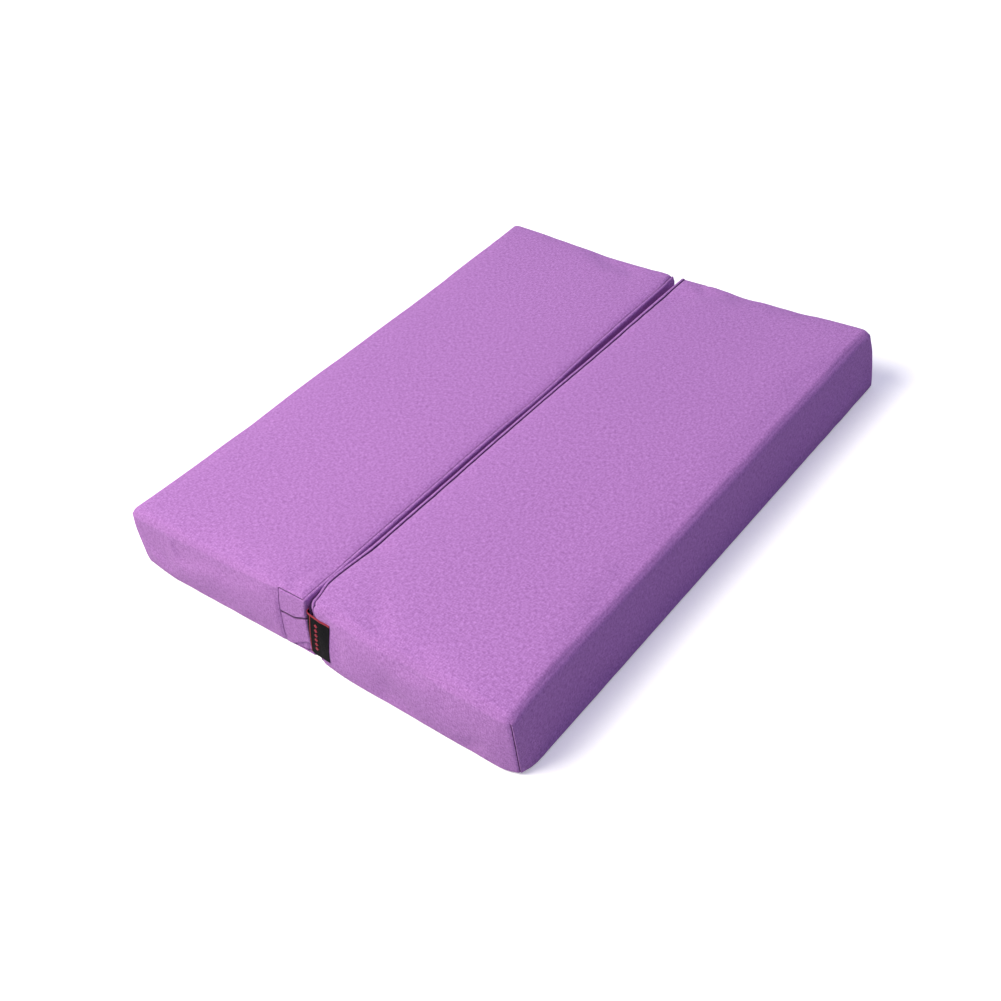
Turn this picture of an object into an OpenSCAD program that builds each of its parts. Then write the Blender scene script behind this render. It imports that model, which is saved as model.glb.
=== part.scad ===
// Two-panel folding foam mat: two equal padded halves joined along the floor by a
// fabric hinge. Each half is a foam block in a sewn cover, closed by a zip that lies
// in the wall facing the other half and turns one corner. The right half is the left
// half turned end for end. X runs across the fold, Y along it, and Z up from the floor.

/* [Mat] */
// Length of both halves, along the fold
mat_l = 600; // [400:10:800]
// Width of one half, across the fold
half_w = 223; // [150:1:320]
// Thickness of the padding
mat_h = 70; // [50:1:110]
// Clear width between the two inner walls
gap = 8; // [7:0.5:16]

/* [Cover] */
// Thickness of the canvas
fabric = 1.2; // [0.8:0.1:1.4]
// Rounding of the outer top edges
edge_r = 10; // [6:0.5:16]
// Rounding of the edges that lie on the floor
foot_r = 4; // [3:0.5:8]
// Rounding of the upright corners on the outer side
outer_corner_r = 7; // [5:0.5:14]
// Rounding of the inner corner that the zip turns
zip_corner_r = 7; // [7:0.5:14]
// Rounding of the inner corner where the zip stops short
plain_corner_r = 10; // [7:0.5:14]
// Height of the seam between the top panel and the zip wall, below the top
seam_drop = 4; // [3:0.5:8]

/* [Zip] */
// Height of the zip above the floor
zip_z = 45; // [32:0.5:48]
// Opening between the two strips of the zip wall
slit = 2.4; // [2:0.1:4]
// How far the zip wall reaches round the corner, along the end of the half
wrap = 31; // [20:1:60]
// Distance from the slider, when closed, to the end of the half
park = 45; // [35:1:80]
// Width of each zip tape
tape_w = 13; // [10:0.5:14]
// Length of the pull tab
pull_l = 14; // [10:0.5:14]

/* [Label] */
// Width of the woven side label
label_w = 25; // [15:1:40]
// Height of the woven side label
label_h = 43; // [25:1:50]
// Height of the label's lower edge above the floor
label_z = 14; // [8:1:20]

/* [Hidden] */

canvas = "mediumorchid";
foam_colour = "lightyellow";
zip_colour = "darkorchid";
metal = "silver";

ease = 0.2;                        // play between the foam and its cover
inner_x = -gap / 2;                // face of the left half's inner wall
outer_x = inner_x - half_w;        // outer side of the left half
end_y = mat_l / 2;                 // far end; the near end is at -end_y
seam_z = mat_h - seam_drop;        // seam between the top panel and the zip wall
inner_top_r = 3;                   // the sewn inner top edge is nearly square
seam_depth = 3.5;                  // the top panel stops this far from the inner wall
wrap_depth = 12;                   // takes in the whole rounding of the wrapped end
arc_steps = 6;
min_r = 0.5;                       // a drawn-in rounding gets no smaller than this
over = 1;                          // a cutting block runs this far past the face it cuts
eps = 0.01;

slider_ease = 0.3;                 // play round the slider, and between it and the coils
flange_ease = 0.5;
// depths below the outside of the zip wall
tape_out = fabric + 0.1;
tape_in = tape_out + 0.6;
coil_out = tape_in + 0.1;
coil_in = coil_out + 1.6;
plate_out = coil_in + slider_ease;
plate_in = plate_out + 1;
pocket_in = plate_in + 0.5;
groove_depth = 6;                  // the foam's zip groove is cut from a slab this deep

coil_gap = 1.4;                    // between the two coils, where the slider's neck runs
coil_w = 1.6;
tape_short = 12;                   // the tapes end this far short of the far end
tape_hem = 2;                      // and this far inside the wrap's seam
coil_short = 20;
coil_hem = 8;
stop_l = 4;
stop_gap = 0.5;
slider_l = 9;
slider_half_z = 4;
neck_l = 2.4;
neck_t = 0.8;
pin_r = 0.6;
pin_bore_r = 0.66;
knuckle_r = 1.15;
pin_out = 1.5;                     // the pin's axis stands this far out of the wall
pull_w = 5.6;
pull_t = 0.8;
pull_ease = 0.4;                   // play between the pull tab's arms and the slider's neck
slider_y = end_y - park;

label_t = 0.8;
label_in = 1;                      // the label's inner edge, short of the inner wall
hinge_t = 1;
hinge_z = 0.3;                     // the hinge strip hangs just clear of the floor
hinge_ease = 0.3;                  // play beside the strip, at each inner wall
big = 2 * (mat_l + half_w);

function arc(cx, cy, r, a0) =
    [for (i = [0:arc_steps]) [cx + r * cos(a0 + 90 * i / arc_steps),
                              cy + r * sin(a0 + 90 * i / arc_steps)]];

// Rectangle with its own radius at each corner, counter-clockwise from the low corner
module round_rect(x0, y0, x1, y1, r) {
    polygon(concat(
        arc(x0 + r[0], y0 + r[0], r[0], 180),
        arc(x1 - r[1], y0 + r[1], r[1], 270),
        arc(x1 - r[2], y1 - r[2], r[2], 0),
        arc(x0 + r[3], y1 - r[3], r[3], 90)));
}

function shrunk(r, inset) = max(r - inset, min_r);

// The padded form of the left half, drawn in by an inset on every side
module block(inset) {
    x0 = outer_x + inset;
    x1 = inner_x - inset;
    y1 = end_y - inset;
    z0 = inset;
    z1 = mat_h - inset;
    edge = shrunk(edge_r, inset);
    foot = shrunk(foot_r, inset);
    intersection() {
        rotate([90, 0, 0]) linear_extrude(big, center = true)
            round_rect(x0, z0, x1, z1, [foot, foot, shrunk(inner_top_r, inset), edge]);
        rotate([90, 0, 90]) linear_extrude(big, center = true)
            round_rect(-y1, z0, y1, z1, [foot, foot, edge, edge]);
        linear_extrude(big, center = true)
            round_rect(x0, -y1, x1, y1,
                [shrunk(outer_corner_r, inset), shrunk(zip_corner_r, inset),
                 shrunk(plain_corner_r, inset), shrunk(outer_corner_r, inset)]);
    }
}

// A skin of the left half between two depths
module skin(outside, inside) {
    difference() {
        block(outside);
        block(inside);
    }
}

// The inner wall and the stretch of the near end that the zip wall wraps, between two
// heights. far_stop and wrap_stop end it short of the far corner and of the wrap's seam.
module zip_zone(z0, z1, far_stop = -over, wrap_stop = 0, depth = seam_depth) {
    translate([inner_x - depth, -end_y - over, z0])
        cube([depth + over, mat_l + over - far_stop, z1 - z0]);
    translate([inner_x - wrap + wrap_stop, -end_y - over, z0])
        cube([wrap - wrap_stop + over, wrap_depth + over, z1 - z0]);
}

// The flat of the underside, inside the rounded foot
module base_zone() {
    translate([outer_x + foot_r, -end_y + foot_r, -over])
        cube([half_w - 2 * foot_r, mat_l - 2 * foot_r, over + fabric + eps]);
}

module right_half() {
    rotate([0, 0, 180]) children();
}

module foam_core() {
    color(foam_colour) difference() {
        block(fabric + ease);
        intersection() {
            skin(0, tape_in + ease);
            zip_zone(zip_z - tape_w - ease, zip_z + tape_w + ease,
                wrap_stop = -over, depth = groove_depth);
        }
        intersection() {
            skin(0, pocket_in);
            zip_zone(zip_z - slider_half_z - ease, zip_z + slider_half_z + ease,
                wrap_stop = -over, depth = groove_depth);
        }
    }
}

module top_cover() {
    color(canvas) difference() {
        skin(0, fabric);
        base_zone();
        zip_zone(-over, seam_z);
    }
}

module zip_flap() {
    color(canvas) intersection() {
        skin(0, fabric);
        zip_zone(zip_z + slit / 2, seam_z);
    }
}

module lower_gusset() {
    color(canvas) difference() {
        intersection() {
            skin(0, fabric);
            zip_zone(-over, zip_z - slit / 2);
        }
        base_zone();
    }
}

module base_panel() {
    color(canvas) intersection() {
        skin(0, fabric);
        base_zone();
    }
}

// side is 1 for the tape above the slit and -1 for the one below it
module zip_tape(side) {
    near_z = zip_z + side * coil_gap / 2;
    far_z = zip_z + side * tape_w;
    color(zip_colour) intersection() {
        skin(tape_out, tape_in);
        zip_zone(min(near_z, far_z), max(near_z, far_z), tape_short, tape_hem);
    }
}

module zip_coil(side) {
    near_z = zip_z + side * coil_gap / 2;
    far_z = near_z + side * coil_w;
    color(zip_colour) intersection() {
        skin(coil_out, coil_in);
        zip_zone(min(near_z, far_z), max(near_z, far_z),
            coil_short, coil_hem, coil_in + over);
    }
}

module zip_stops() {
    stop_z = coil_gap / 2 + coil_w;
    stop_t = coil_in - coil_out;
    color(metal) {
        translate([inner_x - coil_in, end_y - coil_short + stop_gap, zip_z - stop_z])
            cube([stop_t, stop_l, 2 * stop_z]);
        translate([inner_x - wrap + coil_hem - stop_gap - stop_l, -end_y + coil_out,
                   zip_z - stop_z])
            cube([stop_l, stop_t, 2 * stop_z]);
    }
}

module zip_slider() {
    flange_t = slider_half_z - coil_gap / 2 - coil_w - flange_ease;
    color(metal) translate([inner_x, slider_y, zip_z]) {
        translate([-plate_in, -slider_l / 2, -slider_half_z])
            cube([plate_in - plate_out, slider_l, 2 * slider_half_z]);
        for (side = [0, 1]) mirror([0, 0, side])
            translate([-plate_in, -slider_l / 2, slider_half_z - flange_t])
                cube([plate_in - tape_in - slider_ease, slider_l, flange_t]);
        translate([-plate_out - eps, -neck_l / 2, -neck_t / 2])
            cube([plate_out + pin_out, neck_l, neck_t]);
        translate([pin_out, 0, -pull_w / 2])
            cylinder(h = pull_w, r = pin_r, $fn = 32);
    }
}

module zip_pull() {
    arm_in = neck_t / 2 + pull_ease;
    arm_out = pull_w / 2 - pull_ease;
    plate_y = neck_l / 2 + 2 * pull_ease;
    color(metal) translate([inner_x + pin_out, slider_y, zip_z]) {
        difference() {
            union() {
                for (side = [0, 1]) mirror([0, 0, side]) {
                    translate([0, 0, arm_in]) cylinder(h = arm_out - arm_in, r = knuckle_r, $fn = 32);
                    translate([-pull_t / 2, -plate_y - over, arm_in])
                        cube([pull_t, plate_y + over, arm_out - arm_in]);
                }
                translate([-pull_t / 2, -pull_l, -pull_w / 2])
                    cube([pull_t, pull_l - plate_y, pull_w]);
            }
            translate([0, 0, -pull_w]) cylinder(h = 2 * pull_w, r = pin_bore_r, $fn = 32);
        }
    }
}

module hinge_strip() {
    strip_w = gap - 2 * hinge_ease;
    strip_l = mat_l - 2 * plain_corner_r;
    color(canvas) translate([-strip_w / 2, -strip_l / 2, hinge_z])
        cube([strip_w, strip_l, hinge_t]);
}

// Lies on the near end of the right half, out of the seam at its inner corner
module side_label() {
    color("black") translate([-inner_x - label_in, -end_y - label_t, label_z])
        cube([label_w, label_t, label_h]);
}

foam_core();  // left_foam_core
top_cover();  // left_top_cover
zip_flap();  // left_zip_flap
lower_gusset();  // left_lower_gusset
base_panel();  // left_base_panel
zip_tape(1);  // left_zip_tape_upper
zip_tape(-1);  // left_zip_tape_lower
zip_coil(1);  // left_zip_coil_upper
zip_coil(-1);  // left_zip_coil_lower
zip_stops();  // left_zip_stops
zip_slider();  // left_zip_slider
zip_pull();  // left_zip_pull
right_half() foam_core();  // right_foam_core
right_half() top_cover();  // right_top_cover
right_half() zip_flap();  // right_zip_flap
right_half() lower_gusset();  // right_lower_gusset
right_half() base_panel();  // right_base_panel
right_half() zip_tape(1);  // right_zip_tape_upper
right_half() zip_tape(-1);  // right_zip_tape_lower
right_half() zip_coil(1);  // right_zip_coil_upper
right_half() zip_coil(-1);  // right_zip_coil_lower
right_half() zip_stops();  // right_zip_stops
right_half() zip_slider();  // right_zip_slider
right_half() zip_pull();  // right_zip_pull
hinge_strip();
side_label();
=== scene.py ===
import math

import bmesh
import bpy
import numpy as np
from mathutils import Matrix, Vector


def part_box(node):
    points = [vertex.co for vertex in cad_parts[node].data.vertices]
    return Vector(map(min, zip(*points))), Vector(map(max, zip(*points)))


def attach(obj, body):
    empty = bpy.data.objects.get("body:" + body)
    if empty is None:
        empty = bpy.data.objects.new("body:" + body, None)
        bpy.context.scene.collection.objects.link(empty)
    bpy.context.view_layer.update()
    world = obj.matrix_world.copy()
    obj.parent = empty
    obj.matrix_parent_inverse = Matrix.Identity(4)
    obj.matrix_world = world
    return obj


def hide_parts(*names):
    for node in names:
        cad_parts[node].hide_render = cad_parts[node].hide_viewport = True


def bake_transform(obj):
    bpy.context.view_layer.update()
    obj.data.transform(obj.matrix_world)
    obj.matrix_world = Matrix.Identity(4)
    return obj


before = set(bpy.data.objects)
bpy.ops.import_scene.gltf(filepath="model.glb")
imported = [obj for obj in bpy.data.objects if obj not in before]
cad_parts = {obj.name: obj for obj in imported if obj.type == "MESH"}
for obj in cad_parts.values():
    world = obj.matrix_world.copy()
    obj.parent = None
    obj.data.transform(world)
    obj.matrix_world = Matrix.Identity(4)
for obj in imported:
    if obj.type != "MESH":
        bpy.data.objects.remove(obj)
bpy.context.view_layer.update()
mm = 0.001


# ------------------------------------------------------------
# Camera: a product shot from above the corner of the right half, turned a little on its
# own axis so that the mat lies slantwise.
camera_azimuth = math.radians(43.2)
camera_elevation = math.radians(41.0)
camera_roll = math.radians(-7.78)
camera_distance = 1.314
camera_target = Vector((0.0078, -0.0432, 0.0))

back = Vector((math.sin(camera_azimuth) * math.cos(camera_elevation),
               -math.cos(camera_azimuth) * math.cos(camera_elevation),
               math.sin(camera_elevation)))
level = Vector((math.cos(camera_azimuth), math.sin(camera_azimuth), 0))
upright = back.cross(level)
across = level * math.cos(camera_roll) + upright * math.sin(camera_roll)
above = upright * math.cos(camera_roll) - level * math.sin(camera_roll)


def placed(name, data):
    """A new object that holds the data, linked into the scene."""
    made = bpy.data.objects.new(name, data)
    bpy.context.scene.collection.objects.link(made)
    return made


camera_data = bpy.data.cameras.new("camera")
camera_data.sensor_width = 36
camera_data.lens = 47.5
camera = placed("camera", camera_data)
camera.matrix_world = Matrix.Translation(camera_target + back * camera_distance) @ Matrix(
    (across, above, back)).transposed().to_4x4()
bpy.context.scene.camera = camera


# ------------------------------------------------------------
# Studio: a wide pale floor under a dim bluish sky, and one large soft lamp to the left of the
# near end, so the outer side of the right half is in shade.
lamp_data = bpy.data.lights.new("main_lamp", "AREA")
lamp_data.shape = "SQUARE"
lamp_data.size = 1.7
lamp_data.energy = 126
lamp_data.color = (1.0, 0.98, 0.84)
lamp = placed("main_lamp", lamp_data)
lamp.location = (-1.15, -1.5, 2.35)
lamp.rotation_mode = "QUATERNION"
lamp.rotation_quaternion = lamp.location.to_track_quat("Z", "Y")     # it faces the mat's middle

world = bpy.data.worlds.new("studio")
bpy.context.scene.world = world
world.use_nodes = True
world.node_tree.nodes["Background"].inputs["Color"].default_value = (0.64, 0.63, 1.0, 1)
world.node_tree.nodes["Background"].inputs["Strength"].default_value = 0.53
bpy.context.scene.view_settings.view_transform = "Standard"


def new_material(name):
    """A material with its node tree and its Principled shader."""
    material = bpy.data.materials.new(name)
    material.use_nodes = True
    tree = material.node_tree
    return material, tree, tree.nodes["Principled BSDF"]


def add_node(tree, kind, settings=None, **sockets):
    """A node of that kind: settings are its own properties, and each socket named by keyword
    takes a value or the output of another node."""
    made = tree.nodes.new("ShaderNode" + kind)
    for key, value in (settings or {}).items():
        setattr(made, key, value)
    for key, value in sockets.items():
        socket = made.inputs[int(key[1:])] if key[0] == "i" and key[1:].isdigit() else made.inputs[key]
        if isinstance(value, bpy.types.NodeSocket):
            tree.links.new(value, socket)
        else:
            socket.default_value = value
    return made


floor_half_width = 6
floor_material, tree, shader = new_material("studio_floor")
camera_ray = add_node(tree, "LightPath").outputs["Is Camera Ray"]
floor_colour = add_node(tree, "Mix", {"data_type": "RGBA"}, i0=camera_ray, i6=(0.5, 0.5, 0.5, 1),
                        i7=(0.9, 0.9, 0.9, 1))
floor_lift = add_node(tree, "Math", {"operation": "MULTIPLY"}, i0=camera_ray, i1=0.3)
tree.links.new(floor_colour.outputs[2], shader.inputs["Base Color"])
tree.links.new(floor_lift.outputs[0], shader.inputs["Emission Strength"])   # softens the shadow
shader.inputs["Emission Color"].default_value = (1, 0.99, 0.95, 1)
shader.inputs["Roughness"].default_value = 0.9
floor_mesh = bpy.data.meshes.new("floor")
floor_mesh.from_pydata(
    [(x * floor_half_width, y * floor_half_width, 0) for x, y in ((-1, -1), (1, -1), (1, 1), (-1, 1))],
    [], [(0, 1, 2, 3)])
floor_mesh.materials.append(floor_material)
placed("floor", floor_mesh)


# ------------------------------------------------------------
# Form of a half: a slab with rounded edges that strays a little from the straight, blown up in
# its canvas cover by cloth simulation. Every soft part is laid out on the slab: a is the depth
# from the wall that faces the other half, b runs along the fold from the end that the zip turns
# round, z is height. The right half is the left one turned end for end.
halves = ("left", "right")
low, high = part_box("left_top_cover")
slab_w = high.x - low.x
slab_l = high.y - low.y
slab_h = high.z - low.z
half_gap = -high.x
size = np.array([slab_w, slab_l, slab_h])

seam_in = 3 * mm                    # the top seams lie this far in from the inner wall
wrap_top = 32 * mm                  # where the zip wall ends on the wrapped end, at the top
wrap_foot = 35 * mm                 # and at the floor
zip_z = 45 * mm
soft_edge = 8 * mm
upright_edge = 5 * mm               # the upright corners below the softened top edge
sewn_edge = 3 * mm
plain_corner = 12 * mm
foot_edge = 3 * mm


def ease(x, start, end):
    """0 before start, 1 after end, and the smooth cubic 3t^2 - 2t^3 between them."""
    t = np.clip((x - start) / (end - start), 0, 1)
    return t * t * (3 - 2 * t)


def bump_at(x, middle, width):
    """A bell: exp(-((x - middle) / width)^2)."""
    return np.exp(-((x - middle) / width) ** 2)


def roundings(q):
    """Rounding along a, b and z at each point, on the low and the high side of the slab. The
    edges that are sewn to the zip wall are nearly square and the others are soft."""
    a, b, z = q.T
    at_plain = ease(b, slab_l - 32 * mm, slab_l - 11 * mm)
    on_wrap = 1 - ease(a, wrap_top - 2 * mm, wrap_top + 70 * mm)
    by_wrap = 1 - ease(b, 40 * mm, 90 * mm)
    inner = (1 - ease(a, 4 * mm, 16 * mm)) * (1 - at_plain)
    side_r = upright_edge + (soft_edge - upright_edge) * ease(z, slab_h - 26 * mm, slab_h - 6 * mm)
    a_low = sewn_edge + (plain_corner - sewn_edge) * at_plain
    b_low = side_r - (side_r - sewn_edge - 0.5 * mm) * on_wrap
    z_high = soft_edge - (soft_edge - sewn_edge) * np.maximum(on_wrap * by_wrap, inner)
    foot_r = foot_edge + 0 * a
    return (np.stack([a_low, b_low, foot_r], 1), np.stack([side_r, side_r, z_high], 1))


def rounded(q):
    """Points of the square slab moved to its rounded form, with their outward normals: q is
    clamped to the slab drawn in by the roundings, and the rest of the way is carried round an
    ellipsoid."""
    low_r, high_r = roundings(q)
    core = np.clip(q, low_r, size - high_r)
    r = np.where(q < size / 2, low_r, high_r)
    way = (q - core) / r
    way /= np.maximum(np.linalg.norm(way, axis=1, keepdims=True), 1e-9)
    normal = way / r
    normal /= np.linalg.norm(normal, axis=1, keepdims=True)
    return core + r * way, normal


def waviness(q):
    """Slow unevenness of hand-sewn padding, in metres: six sine waves of unlike lengths."""
    a, b, z = q.T
    swell = (np.sin(a / 0.031 + b / 0.083 + 0.4) + np.sin(b / 0.052 - a / 0.071 + z / 0.019 + 2.1)
             + np.sin(b / 0.037 + z / 0.027 + 4.2) + np.sin(a / 0.023 - z / 0.033 + 1.3)
             + np.sin(b / 0.115 + a / 0.094 + 5.1) + np.sin(b / 0.021 - z / 0.017 + 0.9) * 0.5)
    by_zip = (1 - ease(a, 0, 20 * mm)) * bump_at(z, zip_z, 12 * mm)
    return 0.22 * mm * swell * ease(z, 0, 20 * mm) * (1 - 0.8 * by_zip)


def drift(q, half):
    """How far the finished half strays from the straight slab: its outer side and its ends
    spread, least beside the hinge, its top leans over or away from the gap, its middle is
    crowned, and one end of each half is slack at its corners. Its amounts are millimetres."""
    a, b, z = q.T
    y = b - slab_l / 2 if half == "left" else slab_l / 2 - b
    height = z / slab_h
    by_hinge = bump_at(a, 0, 110 * mm)
    if half == "left":
        lean = -2.2 - 2.2 * bump_at(y, 55 * mm, 60 * mm)
        spread = 2.0 + 5.0 * height
        near_out = -(2.2 + 3.3 * height) * by_hinge
        far_out = 6.2 - 5.2 * by_hinge
        slack = bump_at(a, slab_w, 22 * mm) * bump_at(b, 0, 22 * mm) * (1 - height)
        loose = slack[:, None] * np.array([0.5, 0.5, 5.5])
    else:
        lean = -1.2 + 3.8 * ease(y, -60 * mm, 223 * mm) - 5 * bump_at(y, -268 * mm, 38 * mm)
        spread = 6.2 - 6.2 * height
        near_out = 2.6 * (1 - height) * (1 - 0.6 * bump_at(a, 0, 30 * mm)) - 5.5 * height * by_hinge
        far_out = 6.6 - 8.8 * by_hinge
        lifted = bump_at(a, 0, 22 * mm) * bump_at(b, slab_l, 22 * mm) * (1 - height)
        droop = bump_at(a, slab_w, 30 * mm) * bump_at(b, slab_l, 30 * mm) * height
        loose = droop[:, None] * np.array([0, 0, -4.0]) + lifted[:, None] * np.array([0, 0, 3.0])
        tucked = bump_at(a, slab_w, 13 * mm) * bump_at(b, slab_l, 13 * mm) * (1 - height)
        loose += tucked[:, None] * np.array([-3.5, -3.5, 1.5])
    bulge = 1 - (2 * height - 1) ** 2
    outward = far_out * bump_at(y, slab_l / 2, 110 * mm) - near_out * bump_at(y, -slab_l / 2, 110 * mm)
    outward += bulge * np.sign(y) * np.clip(np.abs(2 * y / slab_l) * 8 - 7, 0, 1)
    crown = (1 - (2 * a / slab_w - 1) ** 2) * (1 - (2 * b / slab_l - 1) ** 2)
    move_a = lean * ease(z, 50 * mm, slab_h - 4 * mm) * bump_at(a, 0, 70 * mm)
    move_a += spread * ease(a, 80 * mm, slab_w - 4 * mm) + bulge * np.clip(a / slab_w * 16 - 15, 0, 1)
    move_b = outward if half == "left" else -outward
    move_z = 0.6 * np.sqrt(np.clip(crown, 0, 1)) * height
    return (np.stack([move_a, move_b, move_z], 1) + loose) * mm


cover_give = {}


def sprung(q, half):
    """How far the cover moved at each slab point when it was blown up: the simulation's nodes
    joined by Catmull-Rom curves along a, b and z, which meet every node exactly."""
    nodes = cover_give.get(half)
    if nodes is None:
        return np.zeros_like(q)
    picks, shares = [], []
    for axis in range(3):
        count = nodes.shape[axis]
        at = np.clip(q[:, axis] / size[axis], 0, 1) * (count - 1)
        first = np.minimum(at.astype(int), count - 2)
        t = at - first
        picks.append([np.clip(first + step, 0, count - 1) for step in (-1, 0, 1, 2)])
        shares.append([(2 * t ** 2 - t - t ** 3) / 2, (2 - 5 * t ** 2 + 3 * t ** 3) / 2,
                       (t + 4 * t ** 2 - 3 * t ** 3) / 2, (t ** 3 - t ** 2) / 2])
    moved = np.zeros_like(q)
    for i in range(4):
        for j in range(4):
            for k in range(4):
                share = shares[0][i] * shares[1][j] * shares[2][k]
                moved += share[:, None] * nodes[picks[0][i], picks[1][j], picks[2][k]]
    return moved


def laid_out(q, half, proud):
    """World positions of slab points q: rounded, raised along the normal by proud, carried by
    the half's drift, set on its side of the fold, and moved as the blown-up cover moved."""
    place, normal = rounded(q)
    place = place + normal * (proud + waviness(q))[:, None] + drift(q, half)
    a, b, z = place.T
    if half == "left":
        return np.stack([-half_gap - a, b - slab_l / 2, z], 1) + sprung(q, half)
    return np.stack([half_gap + a, slab_l / 2 - b, z], 1) + sprung(q, half)


def lines(*runs):
    """Grid lines from runs of (first, last, cells), in millimetres, joined end to end."""
    return np.unique(np.round(np.concatenate(
        [np.linspace(first, last, cells + 1) for first, last, cells in runs]), 5)) * mm


def grid_cells(shape, start=0):
    """The four corners of each cell of a grid of points."""
    index = np.arange(shape[0] * shape[1]).reshape(shape) + start
    return np.stack([index[:-1, :-1], index[1:, :-1], index[1:, 1:], index[:-1, 1:]], -1).reshape(-1, 4)


def patch(u, v, face):
    """One face of the slab as a grid: u and v are its two coordinates, as lines or as whole
    grids, and face names the side of the slab it lies on. Returns the points, the flat cloth
    coordinates of each and the four corners of each cell, wound to face out of the slab."""
    if np.ndim(u) == 1:
        u, v = np.meshgrid(u, v, indexing="ij")
    flat = np.zeros_like(u)
    q, out, cloth = {
        "top": ((u, v, flat + slab_h), (0, 0, 1), (u, v)),
        "base": ((u, v, flat), (0, 0, -1), (u, v)),
        "wrapped_end": ((u, flat, v), (0, -1, 0), (u, v)),
        "plain_end": ((u, flat + slab_l, v), (0, 1, 0), (u, v)),
        "inner_wall": ((flat, u, v), (-1, 0, 0), (v, u)),
        "outer_side": ((flat + slab_w, u, v), (1, 0, 0), (v, u)),
    }[face]
    q = np.stack([x.ravel() for x in q], 1)
    cloth = np.stack([cloth[0].ravel(), cloth[1].ravel()], 1)
    cells = grid_cells(u.shape)
    turn = np.cross(q[cells[0, 1]] - q[cells[0, 0]], q[cells[0, 3]] - q[cells[0, 0]])
    if np.dot(turn, out) > 0:       # a half is a mirror of the slab's own axes
        cells = cells[:, ::-1]
    return q, cloth, cells, np.full(len(q), face)


def sewn(patches):
    """Patches welded where their slab points meet. Returns points, cloth coordinates at each
    cell corner, cells, and the points before welding with the face that each lies on."""
    q = np.concatenate([p[0] for p in patches])
    cloth = np.concatenate([p[1] for p in patches])
    starts = np.cumsum([0] + [len(p[0]) for p in patches[:-1]])
    cells = np.concatenate([p[2] + s for p, s in zip(patches, starts)])
    faces = np.concatenate([p[3] for p in patches])
    _, first, same = np.unique(np.round(q, 6), axis=0, return_index=True, return_inverse=True)
    same = same.ravel()
    return {"q": q[first], "cells": same[cells], "cloth": cloth[cells], "all_q": q, "faces": faces,
            "same": same, "count": len(first)}


def block(a, b, z):
    """The six faces of the slab, from their lines along a, b and z, as one closed layout."""
    return sewn([patch(a, b, "top"), patch(a, b, "base"), patch(a, z, "wrapped_end"),
                 patch(a, z, "plain_end"), patch(b, z, "inner_wall"), patch(b, z, "outer_side")])


def lowest(layout, values):
    """One value for each welded point: the lowest of those of the points joined in it."""
    out = np.full(layout["count"], np.inf)
    np.minimum.at(out, layout["same"], values)
    return out


def cloth_piece(name, points, layout, thickness, material, seam=None):
    """A mesh from points and a layout's four-cornered cells, with its flat cloth coordinates in
    the UV map, thickened inwards. The last argument, from 0 to 1, is the strength of painted shade at each
    point, for the dark groove of a sewn line."""
    cells = layout["cells"]
    mesh = bpy.data.meshes.new(name)
    mesh.vertices.add(len(points))
    mesh.vertices.foreach_set("co", points.ravel())
    mesh.loops.add(cells.size)
    mesh.loops.foreach_set("vertex_index", cells.ravel())
    mesh.polygons.add(len(cells))
    mesh.polygons.foreach_set("loop_start", np.arange(0, cells.size, 4))
    mesh.polygons.foreach_set("loop_total", np.full(len(cells), 4))
    mesh.update(calc_edges=True)
    mesh.polygons.foreach_set("use_smooth", np.ones(len(cells), bool))
    uv = mesh.uv_layers.new(name="cloth")
    uv.data.foreach_set("uv", layout["cloth"].reshape(-1))
    if seam is not None:
        # painted seam shade: how far each point's colour is darkened for the groove of its seam
        mesh.attributes.new("seam", "FLOAT", "POINT").data.foreach_set("value", seam)
    mesh.validate()
    if material:
        mesh.materials.append(material)
    piece = placed(name, mesh)
    if thickness:
        solid = piece.modifiers.new("thickness", "SOLIDIFY")
        solid.thickness = thickness
        solid.offset = -1
    return piece


# The simulated cover is a closed grid of 10 mm cells, held at the base and along the zip wall,
# with a little slack in it. It moves by no more than the cap.
give_cells = np.array([22, 60, 7])
give_cap = 2.6 * mm
cover_slack = 0.012
give_frames = 20
give_layout = block(*(np.linspace(0, length, count + 1) for length, count in zip(size, give_cells)))
give_settings = {"quality": 5, "mass": 0.3, "tension_stiffness": 30, "compression_stiffness": 30,
                 "shear_stiffness": 10, "bending_stiffness": 2, "shrink_min": -cover_slack,
                 "use_pressure": True, "uniform_pressure_force": 4, "vertex_group_mass": "held"}


def blown_up(half):
    """Movement of the grid's nodes, in metres, on a lattice of one node to each grid line."""
    q = give_layout["q"]
    before = laid_out(q, half, np.zeros(len(q)))
    balloon = cloth_piece(f"{half}_balloon", before, give_layout, 0, None)
    held = balloon.vertex_groups.new(name="held")
    by_zip = (q[:, 0] < 7 * mm) | ((q[:, 1] < 1 * mm) & (q[:, 0] < wrap_foot))
    held.add(np.nonzero((q[:, 2] < 1 * mm) | by_zip)[0].tolist(), 1.0, "REPLACE")
    cloth = balloon.modifiers.new("cloth", "CLOTH")
    for setting, value in give_settings.items():
        setattr(cloth.settings, setting, value)
    cloth.settings.effector_weights.gravity = 0
    cloth.collision_settings.use_collision = False
    scene = bpy.context.scene
    for number in range(1, give_frames + 1):
        scene.frame_set(number)
    after = np.empty(len(q) * 3, np.float32)
    finished = balloon.evaluated_get(bpy.context.evaluated_depsgraph_get()).to_mesh()
    finished.vertices.foreach_get("co", after)
    moved = after.reshape(-1, 3) - before
    length = np.linalg.norm(moved, axis=1, keepdims=True)
    moved *= give_cap / (give_cap + length)
    mesh = balloon.data
    bpy.data.objects.remove(balloon)
    bpy.data.meshes.remove(mesh)
    scene.frame_set(1)
    index = np.round(q / size * give_cells).astype(int)
    nodes = np.zeros((*(give_cells + 1), 3))
    nodes[index[:, 0], index[:, 1], index[:, 2]] = moved
    return nodes


cover_give.update({half: blown_up(half) for half in halves})


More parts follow.
